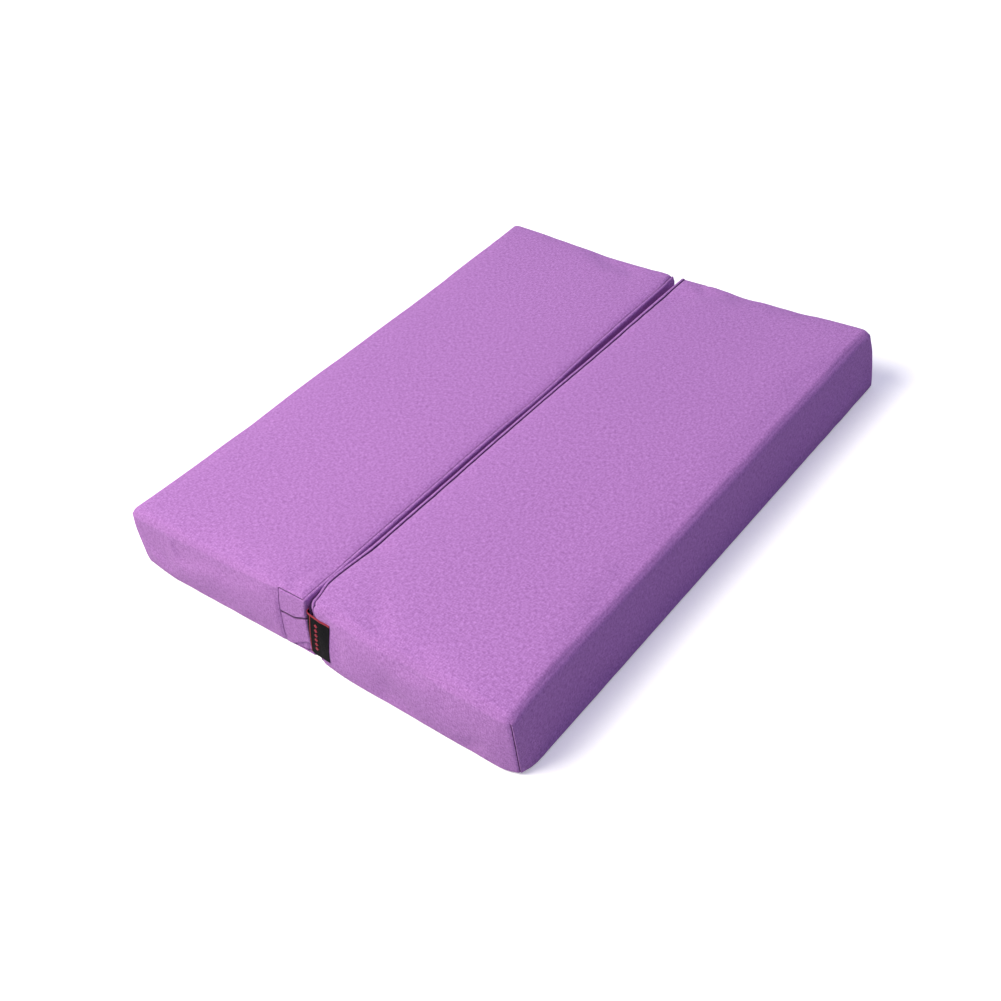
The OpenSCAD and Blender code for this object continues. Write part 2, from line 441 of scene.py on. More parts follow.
# ------------------------------------------------------------
# Foam blocks: one slab of seat foam in each half, cut square, softened at its edges by the
# tight cover, with a shallow groove that the zip presses into it.
def two_tone(tree, amount, dark, light):
    """A colour that runs from dark to light with the amount. Returns the colour ramp."""
    ramp = add_node(tree, "ValToRGB", Fac=amount)
    ramp.color_ramp.elements[0].color = (*dark, 1)
    ramp.color_ramp.elements[1].color = (*light, 1)
    return ramp


def add_bump(tree, shader, height, strength, distance):
    """Relief of the shader's surface, from a height."""
    bump = add_node(tree, "Bump", Height=height, Strength=strength, Distance=distance)
    tree.links.new(bump.outputs["Normal"], shader.inputs["Normal"])


foam_material, tree, shader = new_material("seat_foam")
coords = add_node(tree, "TexCoord")
pores = add_node(tree, "TexVoronoi", Vector=coords.outputs["Object"], Scale=900.0).outputs["Distance"]
foam_ramp = two_tone(tree, pores, (0.62, 0.58, 0.42), (0.86, 0.83, 0.68))
tree.links.new(foam_ramp.outputs["Color"], shader.inputs["Base Color"])
add_bump(tree, shader, pores, 0.5, 0.0006)
shader.inputs["Roughness"].default_value = 0.95

foam_in = 3.9 * mm                  # clear of the seams, which stand inwards
slider_groove = 6 * mm
slider_reach = 4.6 * mm
web_room = 3 * mm                   # for the gathered end of the hinge web
foam_layout = block(lines((0, 12, 8), (12, 211, 26), (211, 223, 8)),
                    lines((0, 12, 8), (12, 588, 72), (588, 600, 8)),
                    lines((0, 6, 5), (6, 29, 5), (29, 61, 26), (61, 70, 7)))
a, b, z = foam_layout["q"].T
by_zip_wall = np.maximum(1 - ease(a, 2 * mm, 8 * mm),
                         (1 - ease(a, wrap_foot, wrap_foot + 6 * mm)) * (1 - ease(b, 2 * mm, 8 * mm)))
by_slider = 1 - ease(np.abs(z - zip_z), slider_reach, slider_reach + 2 * mm)
foam_depth = foam_in + by_zip_wall * ((slider_groove - foam_in) * by_slider)
foam_depth += web_room * (1 - ease(a, wrap_foot - 4 * mm, wrap_foot + 6 * mm)) * (
    1 - ease(b, 2 * mm, 10 * mm)) * (1 - ease(z, 15 * mm, 22 * mm))
for half in halves:
    foam = cloth_piece(f"{half}_foam_block", laid_out(foam_layout["q"], half, -foam_depth),
                       foam_layout, 0, foam_material)
    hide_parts(f"{half}_foam_core")
    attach(foam, f"{half}_half")


# ------------------------------------------------------------
# Top covers: one panel of heavy purple cotton canvas over the top, the outer side and both
# ends, darted at the two outer corners. Its edges are turned in and sewn to the zip wall.
def weave_group():
    """Plain weave of slubby yarn. Cloth is the flat cloth position and Yarn the yarn's width,
    in metres. Shade is the yarn's lightness, round 0.5, with painted shade in the hollows between yarns, and
    Height its roundness."""
    group = bpy.data.node_groups.new("plain_weave", "ShaderNodeTree")
    group.interface.new_socket("Cloth", in_out="INPUT", socket_type="NodeSocketVector")
    yarn = group.interface.new_socket("Yarn", in_out="INPUT", socket_type="NodeSocketFloat")
    yarn.default_value = 0.0008
    group.interface.new_socket("Shade", in_out="OUTPUT", socket_type="NodeSocketFloat")
    group.interface.new_socket("Height", in_out="OUTPUT", socket_type="NodeSocketFloat")
    ins = group.nodes.new("NodeGroupInput")
    outs = group.nodes.new("NodeGroupOutput")

    def calc(operation, first, second=0.0):
        return add_node(group, "Math", {"operation": operation}, i0=first, i1=second).outputs[0]

    split = add_node(group, "SeparateXYZ", Vector=ins.outputs["Cloth"])
    u = calc("DIVIDE", split.outputs["X"], ins.outputs["Yarn"])
    v = calc("DIVIDE", split.outputs["Y"], ins.outputs["Yarn"])
    warp = calc("SINE", calc("MULTIPLY", calc("FRACT", u), math.pi))
    weft = calc("SINE", calc("MULTIPLY", calc("FRACT", v), math.pi))
    over = calc("ABSOLUTE", calc("MODULO", calc("ADD", calc("FLOOR", u), calc("FLOOR", v)), 2.0))
    height = add_node(group, "Mix", {"data_type": "FLOAT"}, i0=over, i2=warp, i3=weft).outputs[0]

    def slubs(stretch_u, stretch_v):
        """Noise drawn out along one set of yarns, one value to each yarn's width."""
        place = add_node(group, "CombineXYZ", X=calc("MULTIPLY", u, stretch_u),
                         Y=calc("MULTIPLY", v, stretch_v))
        return add_node(group, "TexNoise", {"noise_dimensions": "2D"}, Vector=place.outputs[0],
                        Scale=1.0, Detail=1.0).outputs["Fac"]

    along_warp = slubs(0.62, 0.17)
    along_weft = slubs(0.17, 0.62)
    blotches = slubs(0.7, 0.7)
    shade = calc("ADD", calc("MULTIPLY", along_warp, 0.34), calc("MULTIPLY", along_weft, 0.34))
    shade = calc("ADD", shade, calc("MULTIPLY", blotches, 0.32))
    # Painted shade: darker in the hollows between yarns and lighter on their crowns
    shade = calc("ADD", shade, calc("MULTIPLY", calc("SUBTRACT", height, 0.6), 0.12))
    group.links.new(shade, outs.inputs["Shade"])
    group.links.new(calc("ADD", height, calc("MULTIPLY", shade, 0.8)), outs.inputs["Height"])
    return group


plain_weave = weave_group()


def woven_material(name, dark, light, yarn, relief, roughness, sheen):
    """Cloth of one yarn: the weave's shade runs from the dark to the light colour, and a point
    attribute paints shade into the colour, darker still, for the shadow in the grooves of sewn lines."""
    material, tree, shader = new_material(name)
    cloth = add_node(tree, "UVMap", {"uv_map": "cloth"})
    weave = tree.nodes.new("ShaderNodeGroup")
    weave.node_tree = plain_weave
    weave.inputs["Yarn"].default_value = yarn
    tree.links.new(cloth.outputs["UV"], weave.inputs["Cloth"])
    ramp = two_tone(tree, weave.outputs["Shade"], dark, light)
    ramp.color_ramp.elements[0].position = 0.32
    ramp.color_ramp.elements[1].position = 0.68
    # Painted shade in the seam grooves: up to a quarter of the dark colour where the attribute is 1
    in_seam = add_node(tree, "Attribute", {"attribute_name": "seam"})
    seam_shaded = add_node(tree, "Mix", {"data_type": "RGBA"}, i0=in_seam.outputs["Fac"],
                        i6=ramp.outputs["Color"], i7=(*[0.25 * c for c in dark], 1))
    tree.links.new(seam_shaded.outputs[2], shader.inputs["Base Color"])
    add_bump(tree, shader, weave.outputs["Height"], relief, yarn * 0.5)
    shader.inputs["Roughness"].default_value = roughness
    shader.inputs["Specular IOR Level"].default_value = 0.25
    shader.inputs["Sheen Weight"].default_value = sheen
    shader.inputs["Sheen Roughness"].default_value = 0.5
    shader.inputs["Sheen Tint"].default_value = (0.86, 0.7, 0.95, 1)
    return material


canvas = woven_material("purple_canvas", (0.31, 0.11, 0.37), (0.59, 0.275, 0.67), 0.72 * mm, 0.7, 0.85, 0.12)

canvas_t = 0.8 * mm
seam_depth = 2.8 * mm
seam_roll = 1.3 * mm
fold_lines = np.array([0, 0.12, 0.3, 0.55, 0.85, 1.2, 1.7, 2.4, 3.4, 4.8]) * mm


def turned_in(distance, roll=seam_roll, depth=seam_depth, pull=0.0):
    """Fall of a panel's edge into its seam: a quarter turn, depth deep at the seam and level
    again at the distance roll from it. The seam also pulls the panel down by pull, fading out
    over 6 mm."""
    level_out = 1 - np.clip(distance / roll, 0, 1)
    return -depth * (1 - np.sqrt(np.clip(1 - level_out ** 2, 0, 1))) - pull * (1 - ease(distance, 0, 6 * mm))


def seam_shade_line(distance, width=0.8 * mm):
    """Strength of the painted seam shade at a point: 1 in the sewn line, 0 at that width from it."""
    return np.clip(1 - distance / width, 0, 1) ** 0.7


def graded(end, *runs):
    """Grid lines from 0 to end, crowded towards both for the folded edges, with runs between."""
    return np.unique(np.concatenate([fold_lines, lines(*runs), end - fold_lines]))


def wrap_edge(z):
    """Depth a of the upright seam on the wrapped end. It leans out towards the floor."""
    return wrap_foot + (wrap_top - wrap_foot) * z / slab_h


w, l, h = size / mm
top_a = np.unique(np.concatenate([
    seam_in + fold_lines, lines((8, wrap_top / mm, 10)), wrap_top + fold_lines,
    lines((wrap_top / mm + 5, w - 60, 20), (w - 60, w - 12, 20), (w - 12, w - 5, 6)),
    slab_w - fold_lines]))
top_b = graded(slab_l, (5, 14, 7), (14, l - 14, 84), (l - 14, l - 5, 7))
side_z = np.unique(np.concatenate([fold_lines, lines((5, 56, 14), (56, h, 14))]))
end_a, end_z = np.meshgrid(top_a[top_a >= wrap_top - 1e-6], side_z, indexing="ij")
end_a = end_a + (wrap_edge(end_z) - wrap_top) * (1 - ease(end_a, wrap_top, wrap_top + 40 * mm))
cover_layout = sewn([
    patch(top_a, top_b, "top"),
    patch(end_a, end_z, "wrapped_end"),
    patch(top_a, side_z, "plain_end"),
    patch(top_b, side_z, "outer_side"),
])

dart_top = slab_h - 6 * mm
a, b, z = cover_layout["all_q"].T
on = {name: cover_layout["faces"] == name for name in ("top", "wrapped_end", "plain_end", "outer_side")}
far_away = np.full(len(a), 1.0)
to_zip_wall = np.select(
    [on["top"], on["wrapped_end"], on["plain_end"]],
    [np.minimum(a - seam_in, np.hypot(b, np.maximum(a - wrap_top, 0))), a - wrap_edge(z), a - seam_in],
    far_away)
to_dart = np.select(
    [on["wrapped_end"] | on["plain_end"], on["outer_side"]],
    [np.hypot(slab_w - a, np.maximum(z - dart_top, 0)),
     np.hypot(np.minimum(b, slab_l - b), np.maximum(z - dart_top, 0))], far_away)
to_foot = np.where(on["top"], far_away, z)
# Painted shade along the seams to the zip wall and the darts, and at 0.6 along the foot
cover_seam = np.maximum(seam_shade_line(lowest(cover_layout, np.minimum(to_zip_wall, to_dart))),
                        0.6 * seam_shade_line(lowest(cover_layout, to_foot)))
cover_fold = np.minimum(
    turned_in(lowest(cover_layout, to_zip_wall), pull=0.8 * mm),
    np.minimum(turned_in(lowest(cover_layout, to_dart), 1.1 * mm, 2.4 * mm),
               turned_in(lowest(cover_layout, to_foot), 1.5 * mm, 1.2 * mm)))
dart_lip = lowest(cover_layout, np.where(on["outer_side"], to_dart, far_away))
cover_fold += 0.7 * mm * bump_at(dart_lip, 1.5 * mm, 0.9 * mm)


def crease(q, start, end, width):
    """A soft ridge between two points (a, z) of an end, dying away towards both."""
    run = np.subtract(end, start)
    length = np.hypot(*run)
    past = q[:, [0, 2]] - start
    aside = past @ [run[1], -run[0]] / length
    return bump_at(aside, 0, width) * bump_at(past @ run / length ** 2, 0.5, 0.5)


q = cover_layout["q"]
slack_creases = bump_at(q[:, 1], 0, 4 * mm) * (
    crease(q, (172 * mm, 66 * mm), (169 * mm, 42 * mm), 2.6 * mm)
    + crease(q, (165 * mm, 44 * mm), (152 * mm, 12 * mm), 3.0 * mm)
    + crease(q, (212 * mm, 30 * mm), (186 * mm, 6 * mm), 3.5 * mm))
for half in halves:
    creases = 1.2 * mm * slack_creases if half == "left" else 0
    cover = cloth_piece(f"{half}_cover_cloth", laid_out(q, half, cover_fold + creases),
                        cover_layout, canvas_t, canvas, cover_seam)
    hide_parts(f"{half}_top_cover")
    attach(cover, f"{half}_half")


# ------------------------------------------------------------
# Zip walls: two strips of the same canvas along the inner wall, turned about 33 mm round one
# end. The flap hangs above the zip and the gusset stands below it, with a narrow slit between.
slit_half = 1.15 * mm               # half the opening along the wall, wide enough for the slider
slit_half_end = 0.75 * mm
flap_h = 25 * mm                    # the strips' heights along the wall, for their grids
gusset_h = 44 * mm
lip_rise = 1.3 * mm                 # the flap's top seam stands up as a lip


def slit_height(q):
    """Height of the middle of the slit: level along the wall, sagging round the wrapped end."""
    a, b, z = q.T
    raised = 2 * mm * bump_at(b, 0, 25 * mm) * (1 - ease(b, 0, 60 * mm))
    return zip_z + raised - 6 * mm * ease(a, 0, 18 * mm)


def slit_opening(q):
    """Half the opening of the slit, which narrows round the wrapped end."""
    return slit_half_end + (slit_half - slit_half_end) * ease(q[:, 1], 4 * mm, 16 * mm)


def hem_height(q):
    """Height of the gusset's lower seam: on the floor, but lifted towards the wrapped corner
    where the hinge web pulls it up."""
    a, b, z = q.T
    return 17 * mm * (1 - ease(a, 0, wrap_foot)) * (1 - ease(b, 0, 10 * mm))


def band(part, along, share, start, end):
    """A patch of a strip that follows the slit: share runs from 0, at the height start(q), to 1,
    at the height end(q). On the wrapped end the strip is cut to the leaning seam."""
    along, share = np.meshgrid(along, share, indexing="ij")
    flat = np.zeros(along.size)
    q = {"inner_wall": (flat, along.ravel(), flat),
         "wrapped_end": (along.ravel(), flat, flat),
         "plain_end": (along.ravel(), flat + slab_l, flat)}[part]
    q = np.stack(q, 1)
    height = (start(q) + (end(q) - start(q)) * share.ravel()).reshape(along.shape)
    if part == "wrapped_end":
        along = along * wrap_edge(height) / wrap_top
    return patch(along, height, part)


def flap_foot(q):
    return slit_height(q) + slit_opening(q)


def flap_head(q):
    return np.full(len(q), slab_h)


def gusset_head(q):
    return slit_height(q) - slit_opening(q)


strip_b = graded(slab_l, (5, 16, 8), (16, l - 16, 92), (l - 16, l - 5, 9))
strip_end_a = np.unique(np.concatenate([
    lines((0, 4, 6), (4, wrap_top / mm - 5, 12)), wrap_top - fold_lines]))
lip_a = lines((0, 1.6, 6), (1.6, 2.4, 4), (2.4, 3, 5))
flap_share = graded(flap_h, (4.8, 20.2, 8)) / flap_h
gusset_share = graded(gusset_h, (4.8, 39.2, 14)) / gusset_h

strip_runs = {"inner_wall": strip_b, "wrapped_end": strip_end_a, "plain_end": lip_a}
flap_layout = sewn([
    *[band(face, run, flap_share, flap_foot, flap_head) for face, run in strip_runs.items()],
    patch(lip_a, strip_b, "top")])
gusset_layout = sewn([
    band(face, run, gusset_share, gusset_head, hem_height) for face, run in strip_runs.items()])


def strip_fold(layout, side):
    """Fall of a strip's edges into the seams round it and into the slit, and the painted shade along its
    seams, slit and hem.
    """
    q, faces = layout["all_q"], layout["faces"]
    a, b, z = q.T
    to_slit = np.where(faces == "top", 1.0, side * (z - slit_height(q)) - slit_opening(q))
    to_seam = np.select(
        [faces == "top", faces == "wrapped_end", faces == "plain_end"],
        [seam_in - a, np.minimum(wrap_edge(z) - a, slab_h - z + 1.0 * (a < seam_in)), seam_in - a], 1.0)
    to_hem = np.where(side > 0, 1.0, z - hem_height(q))
    to_seam, to_slit, to_hem = (lowest(layout, distance) for distance in (to_seam, to_slit, to_hem))
    fall = np.minimum(turned_in(to_seam), np.minimum(turned_in(to_slit, 1.2 * mm, 1.3 * mm),
                                                     turned_in(to_hem, 1.5 * mm, 1.2 * mm)))
    return fall, seam_shade_line(np.minimum(np.minimum(to_seam, to_slit), to_hem))


flap_fold, flap_seam = strip_fold(flap_layout, 1)
gusset_fold, gusset_seam = strip_fold(gusset_layout, -1)
for half in halves:
    q = flap_layout["q"]
    lip = lip_rise * bump_at(q[:, 0], 0, 2.5 * mm) * ease(q[:, 2], slab_h - 5 * mm, slab_h)
    flap = cloth_piece(f"{half}_flap_cloth", laid_out(q, half, flap_fold + lip), flap_layout,
                       canvas_t, canvas, flap_seam)
    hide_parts(f"{half}_zip_flap")
    gusset = cloth_piece(f"{half}_gusset_cloth", laid_out(gusset_layout["q"], half, gusset_fold),
                         gusset_layout, canvas_t, canvas, gusset_seam)
    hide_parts(f"{half}_lower_gusset")
    for piece in (flap, gusset):
        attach(piece, f"{half}_half")


# ------------------------------------------------------------
# Base panels: one flat piece of canvas under each half, sewn to the cover and the gusset all
# round, along the edge that lies on the floor.
base_layout = sewn([patch(graded(slab_w, (5, w - 5, 30)), graded(slab_l, (5, l - 5, 80)), "base")])
a, b, z = base_layout["q"].T
to_edge = np.minimum(np.minimum(a, slab_w - a), np.minimum(b, slab_l - b))
for half in halves:
    base = cloth_piece(f"{half}_base_cloth",
                       laid_out(base_layout["q"], half, turned_in(to_edge, 1.5 * mm, 1.2 * mm)),
                       base_layout, canvas_t, canvas)
    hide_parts(f"{half}_base_panel")
    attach(base, f"{half}_half")


# ------------------------------------------------------------
# Zip tapes: two woven tapes, 12 mm wide, sewn to the back of the flap and of the gusset.
tape_material = woven_material("zip_tape_twill", (0.2, 0.07, 0.25), (0.33, 0.13, 0.4), 0.5 * mm, 0.5,
                               0.8, 0.05)
tape_depth = 1.6 * mm
tape_t = 0.5 * mm
tape_from = 0.7 * mm                # its two edges, from the middle of the slit
tape_to = 13 * mm
tape_b = lines((0, 16, 10), (16, l - 12, 90))
tape_end_a = lines((0, 4, 5), (4, wrap_top / mm - 2, 8))
tape_share = np.linspace(0, 1, 7)
sides = {"upper": 1, "lower": -1}
for side_name, side in sides.items():

    def tape_edge(q):
        return slit_height(q) + side * tape_from

    def tape_far_edge(q):
        return slit_height(q) + side * tape_to

    tape_layout = sewn([band("inner_wall", tape_b, tape_share, tape_edge, tape_far_edge),
                        band("wrapped_end", tape_end_a, tape_share, tape_edge, tape_far_edge)])
    for half in halves:
        tape = cloth_piece(f"{half}_woven_tape_{side_name}",
                           laid_out(tape_layout["q"], half, np.full(tape_layout["count"], -tape_depth)),
                           tape_layout, tape_t, tape_material)
        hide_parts(f"{half}_zip_tape_{side_name}")
        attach(tape, f"{half}_half")


# ------------------------------------------------------------
# Zip coils: a nylon thread wound into a flattened coil along the edge of each tape.
nylon, tree, shader = new_material("zip_nylon")
coords = add_node(tree, "TexCoord")
thread_noise = add_node(tree, "TexNoise", Vector=coords.outputs["Object"], Scale=700.0).outputs["Fac"]
nylon_ramp = two_tone(tree, thread_noise, (0.17, 0.055, 0.22), (0.3, 0.11, 0.37))
tree.links.new(nylon_ramp.outputs["Color"], shader.inputs["Base Color"])
nylon_rough = add_node(tree, "MapRange", i0=thread_noise, i3=0.28, i4=0.5)
tree.links.new(nylon_rough.outputs[0], shader.inputs["Roughness"])

coil_pitch = 1.3 * mm
coil_depth = 2.85 * mm
coil_off = 1.5 * mm                 # from the middle of the slit to the middle of the coil
coil_half_t = 0.62 * mm
coil_half_w = 0.68 * mm
coil_thread_r = 0.17 * mm
coil_steps = 8
thread_sides = 5
coil_start_a = 22 * mm
coil_end_b = slab_l - 20 * mm


def smooth_piece(name, mesh, material):
    """A piece from a finished mesh, smoothly shaded, in that material alone."""
    mesh.polygons.foreach_set("use_smooth", np.ones(len(mesh.polygons), bool))
    mesh.materials.clear()
    mesh.materials.append(material)
    return placed(name, mesh)


def swept_tube(name, centre, outwards, radius, count, material):
    """A round thread of that radius along the points centre. Each ring stands square to the
    thread and starts at the direction outwards, so it doesn't twist. Its ends are closed."""
    along = np.gradient(centre, axis=0)
    along /= np.linalg.norm(along, axis=1, keepdims=True)
    first = outwards - (outwards * along).sum(1, keepdims=True) * along
    first /= np.linalg.norm(first, axis=1, keepdims=True)
    second = np.cross(along, first)
    turn = np.linspace(0, 2 * math.pi, count, endpoint=False)
    rings = centre[:, None] + radius * (np.cos(turn)[None, :, None] * first[:, None]
                                        + np.sin(turn)[None, :, None] * second[:, None])
    index = np.arange(len(centre) * count).reshape(len(centre), count)
    nxt = np.roll(index, -1, axis=1)
    cells = np.stack([index[:-1], nxt[:-1], nxt[1:], index[1:]], -1).reshape(-1, 4)
    mesh = bpy.data.meshes.new(name)
    mesh.from_pydata(rings.reshape(-1, 3), [],
                     [*cells.tolist(), index[0, ::-1].tolist(), index[-1].tolist()])
    return smooth_piece(name, mesh, material)


coil_length = coil_start_a + coil_end_b
travel = np.linspace(0, coil_length, int(coil_length / coil_pitch) * coil_steps)
wind = 2 * math.pi * travel / coil_pitch
for side_name, side in sides.items():
    q = np.stack([np.maximum(coil_start_a - travel, 0), np.maximum(travel - coil_start_a, 0), 0 * travel], 1)
    q[:, 2] = slit_height(q) + side * coil_off
    middle = q.copy()
    q[:, 2] += side * coil_half_w * np.sin(wind)
    for half in halves:
        core = laid_out(middle, half, np.full(len(q), -coil_depth))
        thread = laid_out(q, half, -coil_depth + coil_half_t * np.cos(wind))
        coil = swept_tube(f"{half}_wound_coil_{side_name}", thread, thread - core, coil_thread_r,
                          thread_sides, nylon)
        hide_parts(f"{half}_zip_coil_{side_name}")
        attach(coil, f"{half}_half")


# ------------------------------------------------------------
# Zip stops: a small crimp squeezed round both coils at each end of the zip, of tumbled zinc
# with fine scratches and a faint mottle.
zinc, tree, shader = new_material("zip_zinc")
coords = add_node(tree, "TexCoord")
scratches = add_node(tree, "TexNoise", Vector=coords.outputs["Object"], Scale=1600.0,
                     Detail=3.0).outputs["Fac"]
zinc_rough = add_node(tree, "MapRange", i0=scratches, i3=0.24, i4=0.46)
tree.links.new(zinc_rough.outputs[0], shader.inputs["Roughness"])
zinc_ramp = two_tone(tree, scratches, (0.576, 0.576, 0.592), (0.72, 0.72, 0.74))
tree.links.new(zinc_ramp.outputs["Color"], shader.inputs["Base Color"])
add_bump(tree, shader, scratches, 0.15, 0.0001)
shader.inputs["Metallic"].default_value = 1

stop_half = np.array([2.0, 2.3, 0.8]) * mm     # half its size along the zip, across and through it
stop_squareness = 0.35


def pebble(steps_round, steps_over):
    """A rounded block: a sphere whose sines and cosines are raised to a power under 1, which
    squares its sides. Returns unit points and its cells."""
    turn = np.linspace(-math.pi, math.pi, steps_round, endpoint=False)
    tilt = np.linspace(-math.pi / 2, math.pi / 2, steps_over)
    turn, tilt = np.meshgrid(turn, tilt, indexing="ij")

    def power(x):
        return np.sign(x) * np.abs(x) ** stop_squareness

    points = np.stack([power(np.cos(tilt)) * power(np.cos(turn)),
                       power(np.cos(tilt)) * power(np.sin(turn)), power(np.sin(tilt))], -1)
    index = np.arange(turn.size).reshape(turn.shape)
    nxt = np.roll(index, -1, axis=0)
    cells = np.stack([index[:, :-1], nxt[:, :-1], nxt[:, 1:], index[:, 1:]], -1).reshape(-1, 4)
    return points.reshape(-1, 3), cells


def closed_shape(name, points, cells, material):
    """A closed mesh from points and cells, with its poles merged and its faces turned out."""
    mesh = bpy.data.meshes.new(name)
    mesh.from_pydata(points, [], cells.tolist())
    shape = bmesh.new()
    shape.from_mesh(mesh)
    bmesh.ops.remove_doubles(shape, verts=shape.verts, dist=1e-6)
    bmesh.ops.recalc_face_normals(shape, faces=shape.faces)
    shape.to_mesh(mesh)
    shape.free()
    return smooth_piece(name, mesh, material)


unit, unit_cells = pebble(28, 15)
for half in halves:
    crimps = []
    for a0, b0, along in ((0, coil_end_b + 2.5 * mm, 1), (coil_start_a + 2.5 * mm, 0, 0)):
        middle = np.array([[a0, b0, 0.0]])
        q = np.repeat(middle, len(unit), 0)
        q[:, along] += unit[:, 0] * stop_half[0]
        q[:, 2] = slit_height(q) + unit[:, 1] * stop_half[1]
        crimps.append(laid_out(q, half, -coil_depth + unit[:, 2] * stop_half[2]))
    stops = closed_shape(f"{half}_stop_crimps", np.concatenate(crimps),
                         np.concatenate([unit_cells, unit_cells + len(unit)]), zinc)
    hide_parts(f"{half}_zip_stops")
    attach(stops, f"{half}_half")


# ------------------------------------------------------------
# Zip sliders and pull tabs: die-cast zinc, tumbled until no edge is sharp. The slider rides
# on the coils behind the slit, and its tab hangs on a pin in front of it.
def tumbled(node, name):
    """The node's own form with its seams merged and its edges worn round."""
    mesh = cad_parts[node].data.copy()
    mesh.name = name
    shape = bmesh.new()
    shape.from_mesh(mesh)
    bmesh.ops.remove_doubles(shape, verts=shape.verts, dist=1e-6)
    bmesh.ops.dissolve_limit(shape, angle_limit=math.radians(2), verts=shape.verts, edges=shape.edges)
    shape.to_mesh(mesh)
    shape.free()
    piece = smooth_piece(name, mesh, zinc)
    worn = piece.modifiers.new("worn_edges", "BEVEL")
    worn.width = 0.14 * mm
    worn.segments = 3
    worn.limit_method = "ANGLE"
    worn.angle_limit = math.radians(40)
    worn.harden_normals = True
    return piece


for half in halves:
    for part, node, body in (("slider_body", "zip_slider", "slider"), ("pull_tab", "zip_pull", "pull")):
        piece = tumbled(f"{half}_{node}", f"{half}_{part}")
        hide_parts(f"{half}_{node}")
        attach(piece, f"{half}_{body}")


# ------------------------------------------------------------
# Hinge web: one narrow strip of canvas between the two halves, sewn into the seam along each
# foot. At both ends it is gathered up under the gusset of the wrapped corner.
web_rise = 1.5 * mm
web_in = 1.4 * mm                   # how far it reaches into the seams of the halves
web_y = lines((-290, -270, 14), (-270, 270, 110), (270, 290, 14))
web_s = np.linspace(-1, 1, 13)
y, s = np.meshgrid(web_y, web_s, indexing="ij")
ruck = 0.35 * mm * (1 - s ** 2) * (np.sin(y / 0.011) + np.sin(y / 0.0047 + 1.0) * 0.6)
strip_points = np.stack([s * (half_gap + web_in), y, web_rise + 0.9 * mm * (1 - s ** 2) + ruck], -1)

gather_a = lines((0, 4, 6), (4, 33, 16))
gather_x = np.linspace(0, 1, 9)[1:]
gather_t = np.linspace(0, 1, 7)


def gathered_end(half):
    """The end of the web on the wrapped end of that half: it hangs from the gusset's lifted
    seam to the floor, then crosses the gap into the other half's corner, falling as it goes."""
    a, t = np.meshgrid(gather_a[::-1], gather_t, indexing="ij")
    q = np.stack([a.ravel(), 0 * a.ravel(), a.ravel() * 0], 1)
    head = hem_height(q) + 1.2 * mm
    q[:, 2] = 0.6 * mm + (head - 0.6 * mm) * t.ravel()
    pucker = 0.5 * mm * np.sin(q[:, 0] / 0.0016 + q[:, 2] / 0.006) * (q[:, 2] / (15 * mm))
    hung = laid_out(q, half, -1.7 * mm + pucker).reshape(*a.shape, 3)
    side = 1 if half == "left" else -1
    pulled_in = bump_at(a, 0, 9 * mm)[..., None] * (1 - t)[..., None]
    hung = hung + pulled_in * np.array([0, side * 2.5, 1.5]) * mm
    corner = hung[-1]
    s, t = np.meshgrid(gather_x, gather_t, indexing="ij")
    x = corner[None, :, 0] + side * s * (2 * half_gap + 2 * mm)
    y = corner[None, :, 1] + side * (1.5 * mm * np.sin(s * 5) + 5 * mm * s)
    z = corner[None, :, 2] * (1 - s) ** 2 + (1 - (1 - s) ** 2) * (0.8 + 2.2 * t) * mm
    return np.concatenate([hung, np.stack([x, y, z], -1)])


grids = [strip_points, gathered_end("left"), gathered_end("right")]
starts = np.cumsum([0] + [g[..., 0].size for g in grids[:-1]])
web_cells = np.concatenate([grid_cells(g.shape[:2], start) for g, start in zip(grids, starts)])
strip_count = (len(web_y) - 1) * (len(web_s) - 1)
web_cells[:strip_count] = web_cells[:strip_count, ::-1]
web_points = np.concatenate([g.reshape(-1, 3) for g in grids])
web_layout = {"cells": web_cells, "cloth": web_points[web_cells][..., :2]}
web = cloth_piece("hinge_web", web_points, web_layout, 0, canvas)
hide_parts("hinge_strip")
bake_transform(web)


# ------------------------------------------------------------
# Side label: black woven ribbon, 25 mm wide, sewn upright into the gap at the right half's
# near corner and lying over its end. Red selvedge and a red column of plain lozenges.
label_w = 25 * mm
label_h = 42 * mm
label_tuck = 5 * mm                 # the part that is sewn into the gap
label_corner = 9 * mm               # its lower corner beside the gap is cut round
label_tilt = math.radians(4)
label_end_x = 24.4 * mm             # its free edge, half way up
label_middle_z = 35.5 * mm
bend_x = 1.5 * mm
bend_r = 2.5 * mm
label_lies_from = 9 * mm            # nearer the gap than this it no longer touches the cover


def on_label(s, t, lift):
    """World points of the ribbon: s across it from its free edge, t up it from its foot, lift
    in front of it. The ribbon is turned by its tilt and then wrapped, without stretch, on an
    upright face that bends round a quarter circle into the gap."""
    cut = label_corner * (1 - np.sqrt(1 - np.clip((s - label_w) / label_corner + 1, 0, 1) ** 2))
    up = cut + (label_h - cut) * t / label_h - label_h / 2
    up = up * (1 + 0.1 * np.clip(s / label_w, 0, 1))
    along = (label_w / 2 - s) * math.cos(label_tilt) + up * math.sin(label_tilt)
    z = label_middle_z + up * math.cos(label_tilt) - (label_w / 2 - s) * math.sin(label_tilt)
    reach = label_end_x - label_w / 2 + along
    turn = np.clip((bend_x - reach) / bend_r, 0, math.pi / 2)
    run = np.maximum(reach - bend_x, 0)
    deep = np.maximum(bend_x - reach - bend_r * math.pi / 2, 0)
    on_end = np.stack([np.maximum(reach - half_gap, label_lies_from), slab_l + 0 * z, z], -1).reshape(-1, 3)
    face = laid_out(on_end, "right", 0.7 * mm)[:, 1].reshape(z.shape)
    x = bend_x + run - (bend_r + lift) * np.sin(turn)
    y = face + bend_r - (bend_r + lift) * np.cos(turn) + deep
    return np.stack([x, y, z], -1)


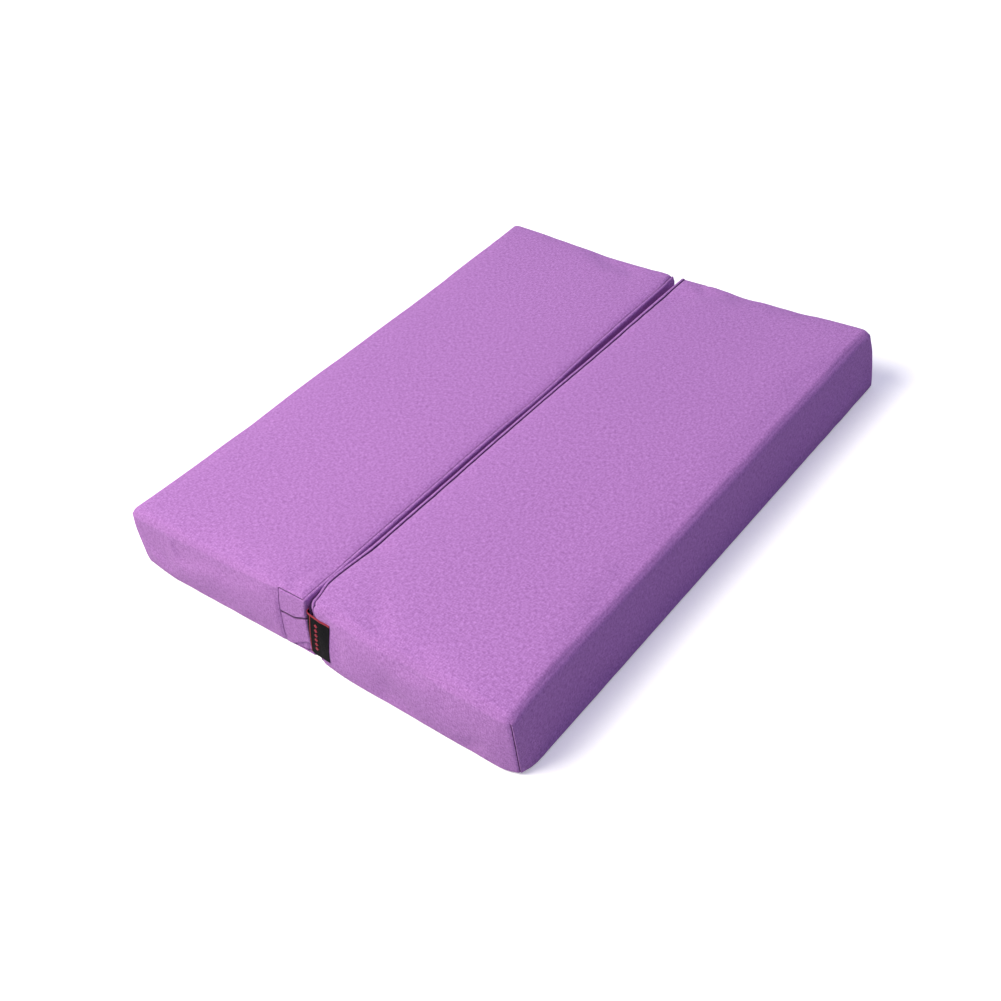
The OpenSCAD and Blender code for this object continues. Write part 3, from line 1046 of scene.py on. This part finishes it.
def ribbon(name, s_lines, t_lines, lift, thickness, material):
    """A flat piece of the label between lines across and up, lift in front of its face."""
    s, t = np.meshgrid(s_lines, t_lines, indexing="ij")
    cells = grid_cells(s.shape)[:, ::-1]
    layout = {"cells": cells, "cloth": np.stack([s.ravel(), t.ravel()], 1)[cells]}
    return cloth_piece(name, on_label(s, t, lift).reshape(-1, 3), layout, thickness, material)


black_satin = woven_material("label_black_satin", (0.0015, 0.0015, 0.002), (0.005, 0.005, 0.006),
                             0.3 * mm, 0.4, 0.6, 0.0)
black_satin.node_tree.nodes["Principled BSDF"].inputs["Specular IOR Level"].default_value = 0.1
red_satin = woven_material("label_red_satin", (0.2, 0.004, 0.012), (0.4, 0.014, 0.03), 0.3 * mm, 0.4,
                           0.5, 0.1)

label_s = np.linspace(0, label_w + label_tuck, 61)
label_t = np.linspace(0, label_h, 60)
label = ribbon("woven_label", label_s, label_t, 0, 0.45 * mm, black_satin)
selvedge_t = np.linspace(label_h - 1.7 * mm, label_h + 0.15 * mm, 6)
selvedge_s = np.linspace(label_w - 3.2 * mm, label_w - 2.4 * mm, 4)
top_edge = ribbon("label_top_edge", label_s, selvedge_t, 0.18 * mm, 0.5 * mm, red_satin)
side_edge = ribbon("label_side_edge", selvedge_s, label_t, 0.15 * mm, 0.3 * mm, red_satin)

lozenge_count = 6
lozenge_half_w = 2.2 * mm
lozenge_half_h = 2.1 * mm
lozenge_step = 5.0 * mm
lozenge_s = 15.2 * mm
lozenge_foot = 8.5 * mm
ring, out = np.meshgrid(np.linspace(0, 2 * math.pi, 25), np.linspace(0, 1, 5), indexing="ij")
square = 1 / (np.abs(np.cos(ring)) + np.abs(np.sin(ring)))
lozenge_grids = [
    on_label(lozenge_s + lozenge_half_w * out * square * np.cos(ring),
             lozenge_foot + number * lozenge_step + lozenge_half_h * out * square * np.sin(ring),
             (0.12 + 0.22 * (1 - out ** 3)) * mm)
    for number in range(lozenge_count)]
lozenge_cells = np.concatenate([grid_cells(ring.shape, k * ring.size) for k in range(lozenge_count)])
lozenge_points = np.concatenate([g.reshape(-1, 3) for g in lozenge_grids])
lozenge_layout = {"cells": lozenge_cells, "cloth": lozenge_points[lozenge_cells][..., [0, 2]]}
lozenges = cloth_piece("label_lozenges", lozenge_points, lozenge_layout, 0, red_satin)
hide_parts("side_label")
for piece in (label, top_edge, side_edge, lozenges):
    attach(piece, "right_half")
